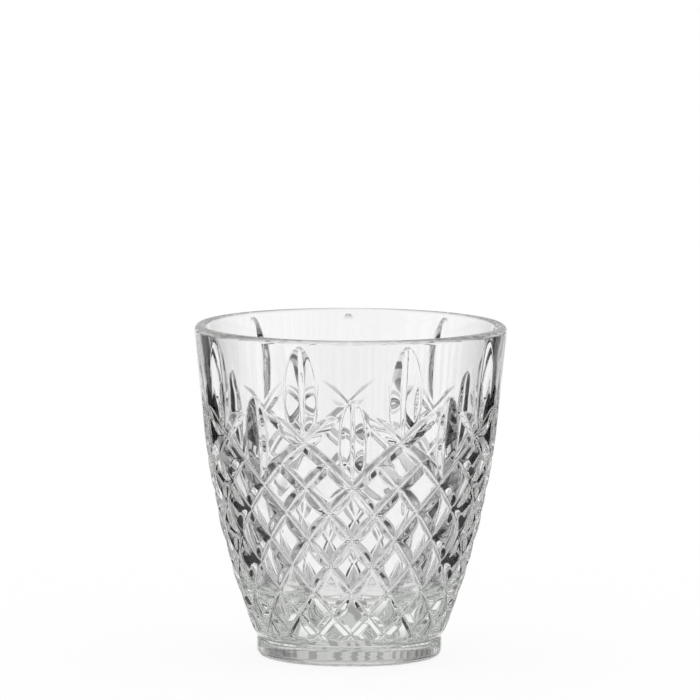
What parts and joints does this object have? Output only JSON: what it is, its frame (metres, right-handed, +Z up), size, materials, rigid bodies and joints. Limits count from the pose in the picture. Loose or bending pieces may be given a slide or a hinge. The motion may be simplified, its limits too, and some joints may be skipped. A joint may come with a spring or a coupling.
{
  "type": "whiskey tumbler",
  "caption": "Clear pressed-glass whiskey tumbler with a flared wall, a raised foot ring, a band of crossing diamond cuts and two rings of leaf cuts.",
  "frame": {"origin": "centre of the foot, on the plane that the tumbler stands on", "axes": "+Z up along the axis of the glass, -Y towards the viewer, through the middle of a low leaf cut"},
  "size_m": [0.09, 0.09, 0.096],
  "materials": {
    "glass": "clear, fire-polished"
  },
  "bodies": {
    "root": {"tumbler": "glass"}
  },
  "joints": []
}
